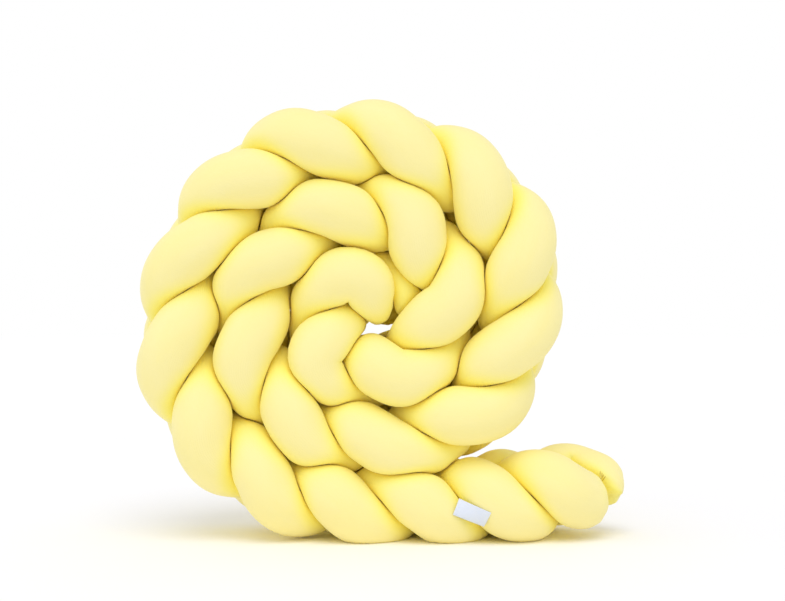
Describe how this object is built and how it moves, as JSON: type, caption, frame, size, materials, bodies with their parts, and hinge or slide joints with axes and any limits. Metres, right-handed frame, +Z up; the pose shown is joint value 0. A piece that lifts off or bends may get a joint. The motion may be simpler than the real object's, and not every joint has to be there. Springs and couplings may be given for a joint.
{
  "type": "braided crib bumper",
  "caption": "Soft crib bumper, a flat plait of fat stuffed jersey tubes, rolled into a spiral that stands on its face with a short tail along the floor and a small blank label.",
  "frame": {"origin": "on the floor, under the middle of the roll and its tail", "axes": "+Z up, +X along the floor towards the tail's loose end, -Y towards the viewer of the roll's near edge"},
  "size_m": [0.5166, 0.1694, 0.4557],
  "materials": {
    "jersey": "matte",
    "ribbon": "matte"
  },
  "bodies": {
    "root": {"strand_a": "jersey", "strand_b": "jersey", "strand_c": "jersey", "label": "ribbon"}
  },
  "joints": []
}
